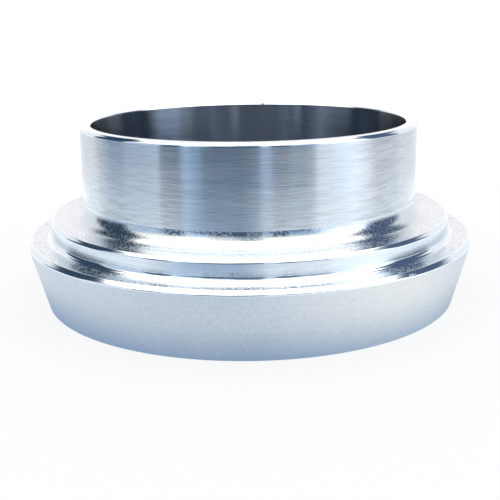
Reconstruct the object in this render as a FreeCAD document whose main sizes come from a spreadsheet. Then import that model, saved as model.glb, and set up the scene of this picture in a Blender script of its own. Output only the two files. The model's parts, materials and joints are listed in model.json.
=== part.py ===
import FreeCAD, Part
import Sketcher
import math
import os

# Male part of a dairy union: one ring turned from stainless bar, millimetres, +Z up.
# It stands on its flat sealing face with the axis on Z and the origin in the middle of that
# face. From the face up it has the 15 degree seat, the shoulder that the round nut pulls on,
# the collar that centres the nut, and the thin stub that is welded to the tube.

NODE = "union_male_part"

# Driving dimensions. Radial sizes are steps outward from the tube, so each stands by itself.
SIZES = [
    ("tubeDiameter", 50.8, "outside diameter of the welding stub, the 2 inch dairy tube"),
    ("tubeWall", 1.65, "wall of the welding stub, straight through as the bore"),
    ("stubLength", 13.7, "welding stub, from the top of the collar to the welding end"),
    ("rootRadius", 2.45, "round at the root of the stub, on the top of the collar"),
    ("weldEdgeBreak", 0.3, "chamfer outside the welding end"),
    ("boreEdgeBreak", 0.12, "chamfer at both mouths of the bore"),
    ("collarStep", 5.0, "how far the collar stands out from the stub, on the radius"),
    ("collarHeight", 2.9, "collar, from the nut shoulder to the top of the collar"),
    ("collarBevel", 0.4, "chamfer round the top of the collar"),
    ("collarFootRadius", 0.75, "round where the collar meets the nut shoulder"),
    ("shoulderWidth", 3.65, "nut shoulder, from the collar to the widest edge, on the radius"),
    ("rimBevelWidth", 0.65, "bevel between the nut shoulder and the widest edge, on the radius"),
    ("rimBevelHeight", 0.5, "the same bevel, along the axis"),
    ("seatHeight", 9.5, "conical seat, from the sealing face to the widest edge"),
    ("seatHalfAngle", 15.0, "slope of the conical seat against the axis, in degrees"),
]

# Radii and heights of the profile, as formulas over the sheet. The edges that get rounds and
# chamfers are found at these same radii and heights.
PLACES = {
    "boreRadius": "sizes.tubeDiameter / 2 - sizes.tubeWall",
    "stubRadius": "sizes.tubeDiameter / 2",
    "collarRadius": "sizes.tubeDiameter / 2 + sizes.collarStep",
    "widestRadius": "sizes.tubeDiameter / 2 + sizes.collarStep + sizes.shoulderWidth",
    "seatRun": "sizes.seatHeight * tan(sizes.seatHalfAngle * 1deg)",
    "seatTopZ": "sizes.seatHeight",
    "shoulderZ": "sizes.seatHeight + sizes.rimBevelHeight",
    "collarTopZ": "sizes.seatHeight + sizes.rimBevelHeight + sizes.collarHeight",
    "weldEndZ": "sizes.seatHeight + sizes.rimBevelHeight + sizes.collarHeight"
                " + sizes.stubLength",
}


def make_sheet(doc):
    sheet = doc.addObject("Spreadsheet::Sheet", "sizes")
    for row, (alias, value, meaning) in enumerate(SIZES, start=1):
        sheet.set(f"A{row}", alias)
        sheet.set(f"B{row}", str(value))
        sheet.set(f"C{row}", meaning)
        sheet.setAlias(f"B{row}", alias)
    doc.recompute()
    return sheet


def work_out_places(sheet):
    # the value of each formula in PLACES, in millimetres
    places = {}
    for name, formula in PLACES.items():
        value = sheet.evalExpression(formula)
        places[name] = float(getattr(value, "Value", value))
    return places


def origin_plane(body, role):
    for feature in body.Origin.OriginFeatures:
        if feature.Role == role:
            return feature
    raise RuntimeError("no origin plane " + role)


def new_sketch(body, name, role):
    sketch = body.newObject("Sketcher::SketchObject", name)
    sketch.AttachmentSupport = (origin_plane(body, role), [""])
    sketch.MapMode = "FlatFace"
    return sketch


def bind(sketch, name, constraint, formula):
    # adds one named dimension to a sketch and ties it to the sheet
    index = sketch.addConstraint(constraint)
    sketch.renameConstraint(index, name)
    sketch.setExpression("Constraints." + name, formula)


def draw_turned_profile(sketch, places, bevel_width):
    # half section of the blank before rounds and edge breaks: sealing face, seat, rim bevel,
    # nut shoulder, collar side, collar top, stub, welding end, and back down the axis
    seat_top = places["widestRadius"]
    corners = [
        (0, 0),
        (seat_top - places["seatRun"], 0),
        (seat_top, places["seatTopZ"]),
        (seat_top - bevel_width, places["shoulderZ"]),
        (places["collarRadius"], places["shoulderZ"]),
        (places["collarRadius"], places["collarTopZ"]),
        (places["stubRadius"], places["collarTopZ"]),
        (places["stubRadius"], places["weldEndZ"]),
        (0, places["weldEndZ"]),
    ]
    points = [FreeCAD.Vector(radius, height, 0) for radius, height in corners]
    count = len(points)
    for i in range(count):
        sketch.addGeometry(Part.LineSegment(points[i], points[(i + 1) % count]), False)
    start, end = 1, 2
    for i in range(count):
        sketch.addConstraint(Sketcher.Constraint("Coincident", i, end, (i + 1) % count, start))

    face, seat, bevel, shoulder, collar_side, collar_top, stub_side, weld_end, axis = range(count)
    for line in (face, shoulder, collar_top, weld_end):
        sketch.addConstraint(Sketcher.Constraint("Horizontal", line))
    for line in (collar_side, stub_side, axis):
        sketch.addConstraint(Sketcher.Constraint("Vertical", line))
    origin = (-1, 1)
    sketch.addConstraint(Sketcher.Constraint("Coincident", face, start, *origin))

    for direction, line, name in [
        ("DistanceX", seat, "widestRadius"),
        ("DistanceY", seat, "seatTopZ"),
        ("DistanceY", bevel, "shoulderZ"),
        ("DistanceX", collar_side, "collarRadius"),
        ("DistanceY", collar_side, "collarTopZ"),
        ("DistanceX", stub_side, "stubRadius"),
        ("DistanceY", stub_side, "weldEndZ"),
    ]:
        constraint = Sketcher.Constraint(direction, *origin, line, end, places[name])
        bind(sketch, name, constraint, PLACES[name])
    run = Sketcher.Constraint("DistanceX", seat, start, seat, end, places["seatRun"])
    bind(sketch, "seatRun", run, PLACES["seatRun"])
    width = Sketcher.Constraint("DistanceX", bevel, end, bevel, start, bevel_width)
    bind(sketch, "rimBevelWidth", width, "sizes.rimBevelWidth")


def turn_blank(doc, body, sheet, places):
    profile = new_sketch(body, "turned_profile", "XZ_Plane")
    draw_turned_profile(profile, places, float(sheet.rimBevelWidth))
    blank = body.newObject("PartDesign::Revolution", "turned_blank")
    blank.Profile = profile
    blank.ReferenceAxis = (profile, ["V_Axis"])
    blank.Angle = 360.0
    doc.recompute()
    return blank


def bore_through(doc, body, places):
    sketch = new_sketch(body, "bore_circle", "XY_Plane")
    radius = places["boreRadius"]
    circle = Part.Circle(FreeCAD.Vector(0, 0, 0), FreeCAD.Vector(0, 0, 1), radius)
    sketch.addGeometry(circle, False)
    sketch.addConstraint(Sketcher.Constraint("Coincident", 0, 3, -1, 1))
    bind(sketch, "boreRadius", Sketcher.Constraint("Radius", 0, radius), PLACES["boreRadius"])
    bore = body.newObject("PartDesign::Pocket", "bore")
    bore.Profile = sketch
    bore.Type = "ThroughAll"
    bore.Reversed = True
    doc.recompute()
    return bore


def circular_edges(shape, rings):
    # names of the full circles that lie at the given (radius, height) pairs
    tolerance = 1e-4
    names = []
    for radius, height in rings:
        for index, edge in enumerate(shape.Edges, start=1):
            curve = edge.Curve
            if not isinstance(curve, Part.Circle):
                continue
            if abs(curve.Radius - radius) < tolerance and abs(curve.Center.z - height) < tolerance:
                names.append(f"Edge{index}")
    if len(names) != len(rings):
        raise RuntimeError(f"wanted {len(rings)} edges, found {len(names)}")
    return names


def dress_edges(doc, body, kind, name, rings, alias):
    # one Fillet or Chamfer on circular edges of the body, its size tied to the sheet
    base = body.Tip
    feature = body.newObject("PartDesign::" + kind, name)
    feature.Base = (base, circular_edges(base.Shape, rings))
    feature.setExpression("Radius" if kind == "Fillet" else "Size", "sizes." + alias)
    doc.recompute()


def make_male_part(doc, sheet):
    places = work_out_places(sheet)
    body = doc.addObject("PartDesign::Body", NODE)
    body.Label = NODE
    blank = turn_blank(doc, body, sheet, places)
    bore = bore_through(doc, body, places)

    root = (places["stubRadius"], places["collarTopZ"])
    collar_foot = (places["collarRadius"], places["shoulderZ"])
    collar_top = (places["collarRadius"], places["collarTopZ"])
    weld_edge = (places["stubRadius"], places["weldEndZ"])
    mouths = [(places["boreRadius"], 0), (places["boreRadius"], places["weldEndZ"])]
    dress_edges(doc, body, "Fillet", "stub_root", [root], "rootRadius")
    dress_edges(doc, body, "Fillet", "collar_foot", [collar_foot], "collarFootRadius")
    dress_edges(doc, body, "Chamfer", "collar_bevel", [collar_top], "collarBevel")
    dress_edges(doc, body, "Chamfer", "weld_edge", [weld_edge], "weldEdgeBreak")
    dress_edges(doc, body, "Chamfer", "bore_mouths", mouths, "boreEdgeBreak")

    # the pocket has to take out exactly the bore
    removed = blank.Shape.Volume - bore.Shape.Volume
    wanted = math.pi * places["boreRadius"] ** 2 * places["weldEndZ"]
    if abs(removed - wanted) > 0.001 * wanted:
        raise RuntimeError("the bore does not go right through")
    return body


def check_model(doc, body):
    for thing in doc.Objects:
        if "Invalid" in thing.State or "Error" in thing.State:
            raise RuntimeError(f"{thing.Name} failed: {thing.State}")
    shape = body.Shape
    if shape.isNull() or not shape.isValid() or len(shape.Solids) != 1:
        raise RuntimeError("the body is not one valid solid")


def main():
    doc = FreeCAD.newDocument("dairy_union")
    sheet = make_sheet(doc)
    body = make_male_part(doc, sheet)
    check_model(doc, body)

    os.makedirs("parts", exist_ok=True)
    body.Shape.exportStep("parts/" + body.Label + ".step")

    # the plain box of a rounded shape comes out too wide
    box = body.Shape.optimalBoundingBox(True, False)
    print(f"{body.Label}: {box.XLength:.2f} x {box.YLength:.2f} x {box.ZLength:.2f} mm, "
          f"{body.Shape.Volume / 1000:.2f} cm3, {len(body.Shape.Faces)} faces")


main()
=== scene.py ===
import json
import math
import bpy
import bmesh
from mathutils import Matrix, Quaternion, Vector


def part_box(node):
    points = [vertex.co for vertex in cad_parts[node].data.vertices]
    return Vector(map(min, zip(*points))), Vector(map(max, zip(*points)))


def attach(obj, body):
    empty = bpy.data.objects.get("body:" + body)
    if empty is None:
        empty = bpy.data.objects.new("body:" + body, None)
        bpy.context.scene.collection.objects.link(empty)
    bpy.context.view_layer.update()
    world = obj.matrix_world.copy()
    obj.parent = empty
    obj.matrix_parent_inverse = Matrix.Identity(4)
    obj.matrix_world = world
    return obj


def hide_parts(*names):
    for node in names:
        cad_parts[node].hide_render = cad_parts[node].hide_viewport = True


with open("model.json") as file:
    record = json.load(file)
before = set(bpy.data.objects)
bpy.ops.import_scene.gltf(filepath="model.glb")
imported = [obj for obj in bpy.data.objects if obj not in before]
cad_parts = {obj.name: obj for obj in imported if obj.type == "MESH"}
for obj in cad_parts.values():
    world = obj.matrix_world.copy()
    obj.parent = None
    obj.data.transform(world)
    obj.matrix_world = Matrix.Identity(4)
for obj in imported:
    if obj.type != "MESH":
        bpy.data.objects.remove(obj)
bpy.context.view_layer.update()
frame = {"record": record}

mm = 0.001
micron = 0.000001
mounts = {mount["name"]: mount for mount in frame["record"]["mounts"]}
ringLow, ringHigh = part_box("union_male_part")
print("frame loaded, box", [round(side / mm, 2) for side in ringHigh - ringLow])

# the turned ring: sizes come from the frame where it has them, the others are the part's own
ring = {
    "boreRadius": mounts["bore"]["dims"]["r_mm"] * mm,
    "stubRadius": mounts["welding_stub"]["dims"]["r_mm"] * mm,
    "collarRadius": mounts["collar"]["dims"]["r_mm"] * mm,
    "widestRadius": ringHigh.x,
    "height": ringHigh.z,
    "shoulderHeight": mounts["nut_shoulder"]["pos_m"][2],
    "collarHeight": 2.9 * mm,  # above the nut shoulder
    "seatAngle": 15.0,  # degrees against the axis
    "rimBevelWidth": 0.65 * mm,
    "rimBevelHeight": 0.5 * mm,
    "collarBevel": 0.4 * mm,
    "weldEdge": 0.3 * mm,
    "boreEdge": 0.12 * mm,
    "rootRound": 2.45 * mm,
    "footRound": 0.75 * mm,
    "crispEdge": 0.05 * mm,  # what the tool leaves of a sharp corner
    "lowerEdge": 0.1 * mm,  # between the sealing face and the seat
    "mouthEdge": 0.03 * mm,  # corners of the bore's chamfers, but not on the sealing face
    "softEdge": 0.65 * mm,  # where the weld edge runs into the stub
    "easedEdge": 0.4 * mm,  # polished edges of the collar and the nut shoulder
    "widestEdge": 0.28 * mm,  # between the seat and the bevel above it
    "arcStep": 9.0,  # degrees between points on a round
    "leastSteps": 3,  # on any round, however short
    "around": 576,  # faces round the axis
}


def outlineCorners(sizes):
    # half section of the ring as corners: radius, height, rounding, finish of the run that follows
    # and finish of the rounding itself
    bore, stub, collar = sizes["boreRadius"], sizes["stubRadius"], sizes["collarRadius"]
    widest, top, shoulder = sizes["widestRadius"], sizes["height"], sizes["shoulderHeight"]
    edge, bevel, weld = sizes["boreEdge"], sizes["collarBevel"], sizes["weldEdge"]
    crisp, eased, mouth = sizes["crispEdge"], sizes["easedEdge"], sizes["mouthEdge"]
    seatHeight = shoulder - sizes["rimBevelHeight"]
    seatRun = seatHeight * math.tan(math.radians(sizes["seatAngle"]))
    collarTop = shoulder + sizes["collarHeight"]
    return [
        (bore + edge, 0, crisp, "face", "face"),
        (widest - seatRun, 0, sizes["lowerEdge"], "seat", "seat"),
        (widest, seatHeight, sizes["widestEdge"], "bright", "bright"),
        (widest - sizes["rimBevelWidth"], shoulder, eased, "shoulder", "bright"),
        (collar, shoulder, sizes["footRound"], "collarSide", "bright"),
        (collar, collarTop - bevel, eased, "bright", "bright"),
        (collar - bevel, collarTop, eased, "shoulder", "bright"),
        (stub, collarTop, sizes["rootRound"], "stub", "root"),
        (stub, top - weld, sizes["softEdge"], "bright", "bright"),
        (stub - weld, top, crisp, "rim", "rim"),
        (bore + edge, top, mouth, "bright", "bright"),
        (bore, top - edge, mouth, "bore", "bright"),
        (bore, edge, mouth, "bright", "bright"),
    ]


def roundCorners(corners, arcStep, leastSteps):
    # every corner becomes an arc that runs smoothly into both its neighbours
    points = []
    for i, (radius, height, rounding, finish, arcFinish) in enumerate(corners):
        here = Vector((radius, height))
        before = Vector(corners[i - 1][:2])
        after = Vector(corners[(i + 1) % len(corners)][:2])
        travel = (here - before).normalized()
        onward = (after - here).normalized()
        turn = -travel.angle_signed(onward)  # plus turns left
        side = math.copysign(1.0, turn)
        outward = Vector((travel.y, -travel.x))
        centre = here - travel * rounding * math.tan(abs(turn) / 2) - outward * rounding * side
        steps = max(leastSteps, math.ceil(math.degrees(abs(turn)) / arcStep))
        for k in range(steps + 1):
            angle = turn * k / steps
            c, s = math.cos(angle), math.sin(angle)
            normal = Vector((outward.x * c - outward.y * s, outward.x * s + outward.y * c))
            place = centre + normal * rounding * side
            points.append((place, normal, arcFinish if k < steps else finish))
    return points


def turnOnLathe(name, points, around, finishes):
    # spins the half section round the axis, with one material slot for each finish
    angles = [2 * math.pi * k / around for k in range(around)]
    spokes = [(math.cos(angle), math.sin(angle)) for angle in angles]
    bm = bmesh.new()
    loops = []
    for place, normal, finish in points:
        loops.append([bm.verts.new((place.x * c, place.x * s, place.y)) for c, s in spokes])
    for i, (place, normal, finish) in enumerate(points):
        low, high = loops[i], loops[(i + 1) % len(loops)]
        for k in range(around):
            n = (k + 1) % around
            face = bm.faces.new((low[k], low[n], high[n], high[k]))
            face.smooth = True
            face.material_index = finishes.index(finish)
    mesh = bpy.data.meshes.new(name)
    bm.to_mesh(mesh)
    bm.free()
    # true lathe normals, so that flats stay flat right up to their edges
    normals = []
    for place, normal, finish in points:
        normals.extend((normal.x * c, normal.x * s, normal.y) for c, s in spokes)
    mesh.normals_split_custom_set_from_vertices(normals)
    piece = bpy.data.objects.new(name, mesh)
    bpy.context.scene.collection.objects.link(piece)
    return piece


def addNode(tree, kind, **settings):
    node = tree.nodes.new(kind)
    for key, value in settings.items():
        setattr(node, key, value)
    return node


def feed(tree, socket, value):
    # a number or a colour is set on the socket, anything else is linked to it
    if isinstance(value, (int, float)):
        socket.default_value = value
    elif isinstance(value, tuple):
        socket.default_value = (*value, 1)
    else:
        tree.links.new(value, socket)


def calculate(tree, operation, a, b=None, c=None, clamp=False):
    node = addNode(tree, "ShaderNodeMath", operation=operation, use_clamp=clamp)
    for socket, value in zip(node.inputs, (a, b, c)):
        if value is not None:
            feed(tree, socket, value)
    return node.outputs[0]


def mixColour(tree, share, first, second):
    # the first colour where the share is 0, the second where it is 1
    node = addNode(tree, "ShaderNodeMix", data_type="RGBA")
    # socket names repeat on this node, so its colour sockets are taken by number
    for number, value in ((0, share), (6, first), (7, second)):
        feed(tree, node.inputs[number], value)
    return node.outputs[2]


def coordinates(tree, kind):
    return addNode(tree, "ShaderNodeTexCoord").outputs[kind]


def splitVector(tree, vector):
    node = addNode(tree, "ShaderNodeSeparateXYZ")
    tree.links.new(vector, node.inputs[0])
    return node.outputs


def azimuthOf(tree, x, y):
    # degrees round the axis, 0 on the camera's side and plus to its right
    angle = calculate(tree, "ARCTAN2", x, calculate(tree, "MULTIPLY", y, -1.0))
    return calculate(tree, "MULTIPLY", angle, math.degrees(1.0))


def newGroup(name, inputs, outputs):
    # every input and output of the groups here is one number
    group = bpy.data.node_groups.new(name, "ShaderNodeTree")
    for label in inputs:
        group.interface.new_socket(label, in_out="INPUT", socket_type="NodeSocketFloat")
    for label in outputs:
        group.interface.new_socket(label, in_out="OUTPUT", socket_type="NodeSocketFloat")
    return group, addNode(group, "NodeGroupInput"), addNode(group, "NodeGroupOutput")


def addNoise(tree, place, scale, detail, roughness):
    noise = addNode(tree, "ShaderNodeTexNoise", noise_dimensions="3D")
    values = {"Vector": place, "Scale": scale, "Detail": detail, "Roughness": roughness}
    for label, value in values.items():
        feed(tree, noise.inputs[label], value)
    return noise.outputs["Fac"]


def addBump(tree, height, depth, under=None, invert=False):
    # raises or sinks the surface, on top of the bump that lies under it
    bump = addNode(tree, "ShaderNodeBump", invert=invert)
    bump.inputs["Strength"].default_value = 1.0
    bump.inputs["Distance"].default_value = depth
    tree.links.new(height, bump.inputs["Height"])
    if under is not None:
        tree.links.new(under, bump.inputs["Normal"])
    return bump.outputs[0]


# tool marks that run round the axis
toolMarks = {
    "pitch": 0.2 * mm,
    "streaks": 8.0,  # more makes the lines shorter
    "detail": 2.0,
    "roughness": 0.6,
    "bandScale": 0.22,  # less makes the bands wider
    "bandDetail": 1.0,
    "bandRoughness": 0.5,
}


def makeTurningMarks():
    # fine lines that are long round the axis, and wider bands of the same kind
    group, ins, outs = newGroup("turningMarks", ("Line Pitch", "Streak Length"), ("Lines", "Bands"))
    x, y, z = splitVector(group, coordinates(group, "Object"))
    squares = [calculate(group, "MULTIPLY", side, side) for side in (x, y)]
    radius = calculate(group, "SQRT", calculate(group, "ADD", *squares))
    across = calculate(group, "DIVIDE", calculate(group, "ADD", radius, z), ins.outputs["Line Pitch"])
    spot = addNode(group, "ShaderNodeCombineXYZ")
    for socket, side in zip(spot.inputs, (x, y)):
        turned = calculate(group, "DIVIDE", side, radius)
        feed(group, socket, calculate(group, "MULTIPLY", turned, ins.outputs["Streak Length"]))
    feed(group, spot.inputs["Z"], across)
    lines = addNoise(group, spot.outputs[0], 1.0, toolMarks["detail"], toolMarks["roughness"])
    bands = addNoise(group, spot.outputs[0], toolMarks["bandScale"], toolMarks["bandDetail"],
                     toolMarks["bandRoughness"])
    group.links.new(lines, outs.inputs["Lines"])
    group.links.new(bands, outs.inputs["Bands"])
    return group


# fine pitted grain, like metal that was blasted after turning
speckle = {
    "grainSize": 0.35 * mm,
    "cloudSize": 0.4 * mm,  # the same grain as faint clouds in the colour
    "detail": 2.0,
    "roughness": 0.65,
    "spotLevel": 0.5,  # grain above this is a dull spot
    "spotSharpness": 12.0,
}


def makeSpeckle():
    group, ins, outs = newGroup("speckle", ("Grain Size",), ("Grain", "Spots"))
    place = coordinates(group, "Object")
    scale = calculate(group, "DIVIDE", 1.0, ins.outputs["Grain Size"])
    grain = addNoise(group, place, scale, speckle["detail"], speckle["roughness"])
    above = calculate(group, "SUBTRACT", grain, speckle["spotLevel"])
    spots = calculate(group, "MULTIPLY", above, speckle["spotSharpness"], clamp=True)
    group.links.new(grain, outs.inputs["Grain"])
    group.links.new(spots, outs.inputs["Spots"])
    return group


# little pits that handling has left
wear = {
    "pits": [
        # x, y, z and width in millimetres
        (2.62, 23.7, 26.6, 0.5),
        (6.2, -23.1, 26.6, 0.25),
        (0.2, -25.1, 26.6, 0.25),
        (-19.14, 14.06, 22.49, 0.35),
        (-2.24, -30.3, 11.1, 0.2),
        (-1.94, -33.0, 10.0, 0.3),
        (-1.4, -33.1, 10.0, 0.2),
        (-5.3, -32.8, 10.0, 0.2),
        (-6.9, -32.4, 10.0, 0.25),
        (20.4, -27.0, 9.6, 0.2),
        (20.8, -26.8, 9.7, 0.25),
        (21.2, -26.5, 9.6, 0.15),
    ],
    "reach": 1.5,  # half widths out to where a pit has faded
    "depth": 0.05 * mm,
    "darkness": 0.1,  # what is left of the colour in a pit
}


def makeWear():
    # how deep a place lies in one of the pits, 0 outside
    group, ins, outs = newGroup("wear", (), ("Pits",))
    place = coordinates(group, "Object")
    deepest = 0.0
    for x, y, z, width in wear["pits"]:
        away = addNode(group, "ShaderNodeVectorMath", operation="DISTANCE")
        group.links.new(place, away.inputs[0])
        away.inputs[1].default_value = (x * mm, y * mm, z * mm)
        share = calculate(group, "DIVIDE", away.outputs["Value"], width * mm / 2)
        depth = calculate(group, "SUBTRACT", wear["reach"], share, clamp=True)
        deepest = calculate(group, "MAXIMUM", deepest, depth)
    group.links.new(deepest, outs.inputs["Pits"])
    return group


# the steel and the finish of each turned run, in the order of the material slots
steel = {
    "colour": (0.62, 0.68, 0.74),
    "shineTurn": 0.25,  # turns the long way of the shine across the tool marks
    "darkFrom": 0.4,  # lines and clouds above this darken the metal
    "darkGain": 4.0,
    "darkest": 0.5,  # what they leave of the colour
    "plain": {
        "roughness": 0.2,
        "wander": 0.1,  # how far the roughness wanders from line to line
        "along": 0.8,  # how far the tool marks stretch the shine
        "shade": 1.0,  # how light the metal is: partly finish, partly painted light, as runs of the one steel are set lighter or darker to how light falls on them
        "lines": 2.0,  # depth of the tool lines in micron
        "dark": 0.0,  # how much the tool lines darken the metal
        "cloud": 0.0,  # how much the fine clouds darken it
        "grain": 0.0,  # depth of the blasted grain in micron
        "dull": 0.0,  # how dull the spots of that grain are
    },
    "finishes": {
        # what differs from the plain finish
        # each shade below sets how light that run of the one steel looks: the bore's low shade is painted
        # shade of the recess, and the high shades of the rim, bright edges, root and shoulder are painted
        # highlight
        "bore": {"roughness": 0.18, "wander": 0.04, "along": 1.0, "shade": 0.72, "lines": 4.0, "dark": 0.1},
        "rim": {"shade": 1.35},
        "stub": {"along": 1.0, "shade": 1.02, "lines": 13.0, "dark": 0.3},
        "bright": {"roughness": 0.12, "wander": 0.05, "shade": 1.3, "lines": 1.0},
        "root": {
            "roughness": 0.14, "wander": 0.02, "shade": 1.1, "lines": 1.0, "grain": 12.0, "dull": 0.15,
        },
        "shoulder": {
            "roughness": 0.12, "wander": 0.02, "shade": 1.2, "lines": 1.0, "grain": 15.0, "dull": 0.3,
        },
        "collarSide": {"along": 0.9, "shade": 1.1, "lines": 6.0, "dark": 0.1},
        "seat": {"roughness": 0.35, "along": 0.3, "shade": 1.05, "dark": 0.05, "cloud": 0.17},
        "face": {"roughness": 0.4},
    },
}


def makeSteel(name, marksGroup, speckleGroup, wearGroup):
    finish = {**steel["plain"], **steel["finishes"][name]}
    # the one steel made lighter or darker run by run: painted light and shade on top of its finish
    metal = tuple(channel * finish["shade"] for channel in steel["colour"])
    material = bpy.data.materials.new(name + "Steel")
    material.use_nodes = True
    tree = material.node_tree
    tree.nodes.clear()
    out = addNode(tree, "ShaderNodeOutputMaterial")
    skin = addNode(tree, "ShaderNodeBsdfPrincipled")
    tree.links.new(skin.outputs[0], out.inputs[0])
    skin.inputs["Base Color"].default_value = (*metal, 1)
    skin.inputs["Metallic"].default_value = 1.0
    skin.inputs["Anisotropic"].default_value = finish["along"]
    skin.inputs["Anisotropic Rotation"].default_value = steel["shineTurn"]
    tangent = addNode(tree, "ShaderNodeTangent", direction_type="RADIAL", axis="Z")
    tree.links.new(tangent.outputs[0], skin.inputs["Tangent"])

    marks = addNode(tree, "ShaderNodeGroup", node_tree=marksGroup)
    marks.inputs["Line Pitch"].default_value = toolMarks["pitch"]
    marks.inputs["Streak Length"].default_value = toolMarks["streaks"]
    lines, bands = marks.outputs["Lines"], marks.outputs["Bands"]
    pits = addNode(tree, "ShaderNodeGroup", node_tree=wearGroup).outputs["Pits"]

    # lines and bands each lie about 0.5, so the roughness wanders about its own value
    lowest = finish["roughness"] - finish["wander"]
    roughness = calculate(tree, "MULTIPLY_ADD", bands, finish["wander"], lowest)
    roughness = calculate(tree, "MULTIPLY_ADD", lines, finish["wander"], roughness)
    normal = addBump(tree, lines, finish["lines"] * micron)
    if finish["grain"]:
        blasted = addNode(tree, "ShaderNodeGroup", node_tree=speckleGroup)
        blasted.inputs["Grain Size"].default_value = speckle["grainSize"]
        roughness = calculate(tree, "MULTIPLY_ADD", blasted.outputs["Spots"], finish["dull"], roughness)
        normal = addBump(tree, blasted.outputs["Grain"], finish["grain"] * micron, under=normal)
    normal = addBump(tree, pits, wear["depth"], under=normal, invert=True)
    tree.links.new(roughness, skin.inputs["Roughness"])
    tree.links.new(normal, skin.inputs["Normal"])

    def darken(colour, share, darkness):
        return mixColour(tree, share, colour, tuple(channel * darkness for channel in metal))

    def darkenBy(colour, height, amount):
        above = calculate(tree, "SUBTRACT", height, steel["darkFrom"])
        share = calculate(tree, "MULTIPLY", above, steel["darkGain"] * amount, clamp=True)
        return darken(colour, share, steel["darkest"])

    colour = metal
    if finish["dark"]:
        colour = darkenBy(colour, lines, finish["dark"])
    if finish["cloud"]:
        clouds = addNode(tree, "ShaderNodeGroup", node_tree=speckleGroup)
        clouds.inputs["Grain Size"].default_value = speckle["cloudSize"]
        colour = darkenBy(colour, clouds.outputs["Grain"], finish["cloud"])
    tree.links.new(darken(colour, pits, wear["darkness"]), skin.inputs["Base Color"])
    return material


def buildRing():
    finishes = list(steel["finishes"])
    points = roundCorners(outlineCorners(ring), ring["arcStep"], ring["leastSteps"])
    piece = turnOnLathe("turned_ring", points, ring["around"], finishes)
    print("ring turned:", len(piece.data.polygons), "faces")
    groups = makeTurningMarks(), makeSpeckle(), makeWear()
    for name in finishes:
        piece.data.materials.append(makeSteel(name, *groups))
    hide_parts("union_male_part")
    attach(piece, "root")
    print("ring finished:", ", ".join(finishes))


# soft studio round the ring, as seen from it: azimuth 0 is the camera's side, plus is to its
# right, elevation 0 is level, shade 1 is white; later panels stand in front of earlier ones
studio = {
    "walls": (0.97, 0.97, 0.97),
    "panels": [
        # name, azimuth, half width, elevation from, to, soft sideways, soft upward, shade
        ("ceiling", 0, 200, 48, 120, 2, 4, (2.4, 2.25, 2.1)),
        ("ceilingBack", 180, 85, 52, 120, 24, 8, (2.6, 2.2, 2.0)),
        ("lampAbove", 180, 95, 78, 120, 20, 8, (6.0, 5.5, 4.8)),
        ("backdrop", 180, 32, -2, 48, 8, 8, (1.12, 1.06, 1.03)),
        ("gapBehind", 180, 24, 27, 48, 8, 8, (0.08, 0.2, 0.32)),
        ("flagLeft", -105, 17, -2, 46, 5, 8, (0.03, 0.06, 0.1)),
        ("flagLeftHigh", -129, 21, 28, 48, 5, 5, (0.03, 0.06, 0.1)),
        ("flagRight", 100, 16, -2, 46, 5, 8, (0.08, 0.12, 0.2)),
        ("flagRightHigh", 129, 21, 28, 48, 5, 5, (0.08, 0.12, 0.2)),
        ("sideLeftLow", -84, 28, -90, 0, 20, 4, (0.35, 0.45, 0.6)),
        ("front", -8, 52, -90, 22, 3, 6, (0.06, 0.1, 0.16)),
        ("frontHigh", -1, 9, 22, 47, 4, 6, (0.36, 0.42, 0.48)),
        ("windowLeft", -66, 20, 23, 48, 6, 12, (1.6, 1.5, 1.3)),
        ("windowLeftLow", -70, 15, 0, 24, 6, 12, (0.5, 0.64, 0.8)),
        ("windowLeftInner", -39, 10, 26, 48, 10, 14, (2.0, 1.8, 1.6)),
        ("windowRight", 30, 18, 26, 48, 10, 12, (2.2, 1.9, 1.5)),
        ("windowRightLow", 29, 18, 0, 26, 10, 16, (0.38, 0.54, 0.76)),
        ("windowSide", 64, 20, 26, 48, 8, 16, (2.2, 1.8, 1.4)),
        ("windowSideLow", 65, 18, 0, 26, 8, 16, (1.05, 1.3, 1.6)),
        ("windowSideStrip", 68, 11, 5, 26, 5, 8, (2.3, 2.9, 3.8)),
        ("stripLeftDark", -52, 6, -20, 26, 4, 6, (0.05, 0.1, 0.2)),
        ("stripLeft", -40, 3, 0, 26, 2, 8, (0.9, 1.05, 1.25)),
        ("stripLeftWide", -33, 7, 8, 24, 5, 6, (0.5, 0.72, 0.95)),
        ("stripRight", 10.5, 3, 0, 26, 2, 8, (0.7, 0.84, 1.0)),
        ("stripRightDark", 20, 6, -20, 26, 4, 6, (0.05, 0.1, 0.2)),
        ("sideRightLow", 68, 22, -90, 0, 20, 4, (0.94, 0.9, 0.92)),
        ("sideRightBright", 78, 11, -90, 0, 8, 4, (1.25, 1.2, 1.22)),
        ("stripLeftLow", -38, 7, -90, 0, 4, 4, (0.25, 0.4, 0.6)),
        ("stripRightLow", 11, 4, -90, 0, 2, 4, (0.15, 0.3, 0.5)),
    ],
    "skyLight": 1.07,  # plain white light on the paper
}
panelInputs = ("Azimuth", "Elevation", "Centre", "Half Width", "From", "To", "Soft Sideways", "Soft Upward")


def makePanelGroup():
    # mask of one panel of the studio, in degrees of azimuth and elevation
    group, ins, outs = newGroup("studioPanel", panelInputs, ("Mask",))
    value = ins.outputs

    def ramp(distance, soft):
        # half way at the edge itself
        return calculate(group, "ADD", calculate(group, "DIVIDE", distance, soft), 0.5, clamp=True)

    aside = calculate(group, "SUBTRACT", value["Azimuth"], value["Centre"])
    aside = calculate(group, "ABSOLUTE", calculate(group, "WRAP", aside, 180.0, -180.0))
    sideways = ramp(calculate(group, "SUBTRACT", value["Half Width"], aside), value["Soft Sideways"])
    above = ramp(calculate(group, "SUBTRACT", value["Elevation"], value["From"]), value["Soft Upward"])
    below = ramp(calculate(group, "SUBTRACT", value["To"], value["Elevation"]), value["Soft Upward"])
    mask = calculate(group, "MULTIPLY", sideways, calculate(group, "MULTIPLY", above, below))
    group.links.new(mask, outs.inputs["Mask"])
    return group


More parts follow.
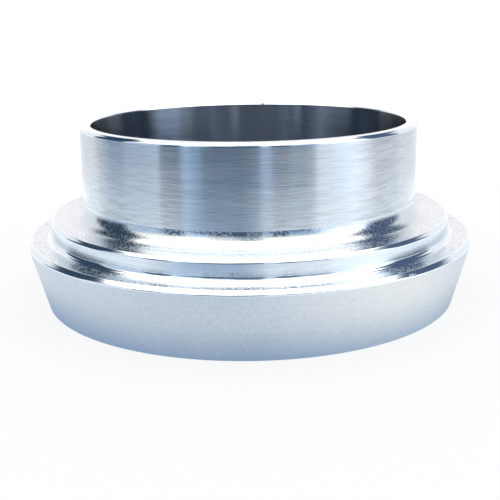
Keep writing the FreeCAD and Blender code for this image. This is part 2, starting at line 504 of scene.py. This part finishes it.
def panelMask(tree, panelGroup, label, values):
    # where a panel stands; the values come in the order of panelInputs
    panel = addNode(tree, "ShaderNodeGroup", node_tree=panelGroup, label=label)
    for socket, value in zip(panelInputs, values):
        feed(tree, panel.inputs[socket], value)
    return panel.outputs["Mask"]


def buildStudio(panelGroup):
    # only reflections see the panels, everything else gets plain white light
    world = bpy.data.worlds.new("studio")
    bpy.context.scene.world = world
    world.use_nodes = True
    tree = world.node_tree
    tree.nodes.clear()
    x, y, z = splitVector(tree, coordinates(tree, "Generated"))
    azimuth = azimuthOf(tree, x, y)
    elevation = calculate(tree, "MULTIPLY", calculate(tree, "ARCSINE", z), math.degrees(1.0))
    colour = studio["walls"]
    for name, *reach, shade in studio["panels"]:
        mask = panelMask(tree, panelGroup, name, (azimuth, elevation, *reach))
        colour = mixColour(tree, mask, colour, shade)
    room = addNode(tree, "ShaderNodeBackground")
    tree.links.new(colour, room.inputs["Color"])
    white = addNode(tree, "ShaderNodeBackground")
    white.inputs["Color"].default_value = (1, 1, 1, 1)
    white.inputs["Strength"].default_value = studio["skyLight"]
    path = addNode(tree, "ShaderNodeLightPath")
    choose = addNode(tree, "ShaderNodeMixShader")
    out = addNode(tree, "ShaderNodeOutputWorld")
    tree.links.new(path.outputs["Is Glossy Ray"], choose.inputs[0])
    tree.links.new(white.outputs[0], choose.inputs[1])
    tree.links.new(room.outputs[0], choose.inputs[2])
    tree.links.new(choose.outputs[0], out.inputs[0])
    print("studio lit:", len(studio["panels"]), "panels")


# round sheet of paper under the ring, and the painted light and shade that the steel sees on it
floor = {
    "radius": 100 * mm,
    "segments": 128,
    "colour": (0.93, 0.93, 0.93),
    "roughness": 0.9,
    "cameraWhite": 0.8,  # how much of the paper shows as pure white
    "footRadius": 30 * mm,  # painted contact shadow: the steel sees the paper darker towards the ring's foot
    "nearRadius": 38 * mm,
    "farRadius": 75 * mm,
    # tones that the paper shows to reflections only: painted contact shadow at the foot, painted light
    # further out
    "foot": (0.25, 0.4, 0.6),
    "near": (0.9, 0.92, 0.96),
    "far": (1.35, 1.4, 1.42),
    "front": (0.47, 0.66, 0.88),  # instead of far, on the camera's side: painted shadow, darker there
    "right": (1.28, 1.22, 1.14),  # instead of near, on the camera's right: painted light, lighter there
    "rightFoot": (0.4, 0.55, 0.72),  # instead of foot, on the camera's right: a lighter painted contact shadow
    "paintedBoreShade": (0.08, 0.12, 0.23),  # painted shade on the paper inside the ring
    "frontSector": (-16, 20, 16),  # azimuth, half width, soft sideways
    "rightSector": (48, 26, 36),
}


def paintedPaperTone(tree, panelGroup):
    # painted light and shade of the paper in the steel, by azimuth and by distance from the axis
    place = coordinates(tree, "Object")
    x, y, z = splitVector(tree, place)
    azimuth = azimuthOf(tree, x, y)
    length = addNode(tree, "ShaderNodeVectorMath", operation="LENGTH")
    tree.links.new(place, length.inputs[0])
    radius = length.outputs["Value"]

    def sector(label):
        # the paper is level, well between the panel's ends, so only the azimuth counts
        centre, halfWidth, soft = floor[label + "Sector"]
        return panelMask(tree, panelGroup, label, (azimuth, 0.0, centre, halfWidth, -9, 9, soft, 1))

    def outward(start, end):
        ramp = addNode(tree, "ShaderNodeMapRange", clamp=True)
        values = {"Value": radius, "From Min": floor[start], "From Max": floor[end]}
        for label, value in values.items():
            feed(tree, ramp.inputs[label], value)
        return ramp.outputs["Result"]

    onRight = sector("right")
    near = mixColour(tree, onRight, floor["near"], floor["right"])
    foot = mixColour(tree, onRight, floor["foot"], floor["rightFoot"])
    tone = mixColour(tree, sector("front"), floor["far"], floor["front"])
    tone = mixColour(tree, outward("nearRadius", "farRadius"), near, tone)
    tone = mixColour(tree, outward("footRadius", "nearRadius"), foot, tone)
    outside = calculate(tree, "GREATER_THAN", radius, ring["boreRadius"])
    return mixColour(tree, outside, floor["paintedBoreShade"], tone)


def makePaper(panelGroup):
    material = bpy.data.materials.new("paper")
    material.use_nodes = True
    tree = material.node_tree
    skin = tree.nodes["Principled BSDF"]
    skin.inputs["Base Color"].default_value = (*floor["colour"], 1)
    skin.inputs["Roughness"].default_value = floor["roughness"]
    skin.inputs["Specular IOR Level"].default_value = 0.0
    path = addNode(tree, "ShaderNodeLightPath")
    white = addNode(tree, "ShaderNodeEmission")
    seen = addNode(tree, "ShaderNodeMixShader")
    share = calculate(tree, "MULTIPLY", path.outputs["Is Camera Ray"], floor["cameraWhite"])
    tree.links.new(share, seen.inputs[0])
    tree.links.new(skin.outputs[0], seen.inputs[1])
    tree.links.new(white.outputs[0], seen.inputs[2])
    # for reflections the paper glows with its painted light and shade instead of being lit
    paintedGlow = addNode(tree, "ShaderNodeEmission")
    tree.links.new(paintedPaperTone(tree, panelGroup), paintedGlow.inputs["Color"])
    choose = addNode(tree, "ShaderNodeMixShader")
    tree.links.new(path.outputs["Is Glossy Ray"], choose.inputs[0])
    tree.links.new(seen.outputs[0], choose.inputs[1])
    tree.links.new(paintedGlow.outputs[0], choose.inputs[2])
    tree.links.new(choose.outputs[0], tree.nodes["Material Output"].inputs[0])
    return material


def buildFloor(panelGroup):
    bm = bmesh.new()
    bmesh.ops.create_circle(bm, cap_ends=True, radius=floor["radius"], segments=floor["segments"])
    mesh = bpy.data.meshes.new("paper")
    bm.to_mesh(mesh)
    bm.free()
    mesh.materials.append(makePaper(panelGroup))
    paper = bpy.data.objects.new("paper", mesh)
    bpy.context.scene.collection.objects.link(paper)
    print("paper laid")


camera = {
    "distance": 133.07 * mm,  # in front of the axis
    "height": 42.21 * mm,
    "aimHeight": 5.91 * mm,
    "roll": 0.825,  # degrees, the right side stands higher in the picture
    "lens": 62.46,
    "sensor": 36.0,
    "nearest": 10 * mm,  # nothing closer than this is seen
}


def buildCamera():
    data = bpy.data.cameras.new("camera")
    data.lens = camera["lens"]
    data.sensor_width = camera["sensor"]
    data.clip_start = camera["nearest"]
    eye = bpy.data.objects.new("camera", data)
    bpy.context.scene.collection.objects.link(eye)
    eye.location = (0, -camera["distance"], camera["height"])
    aim = Vector((0, 0, camera["aimHeight"]))
    level = (aim - eye.location).to_track_quat("-Z", "Y")
    eye.rotation_mode = "QUATERNION"
    eye.rotation_quaternion = level @ Quaternion((0, 0, 1), math.radians(-camera["roll"]))
    bpy.context.scene.camera = eye
    print("camera set")


panelGroup = makePanelGroup()
buildRing()
buildFloor(panelGroup)
buildStudio(panelGroup)
buildCamera()
bpy.context.scene.view_settings.view_transform = "Standard"
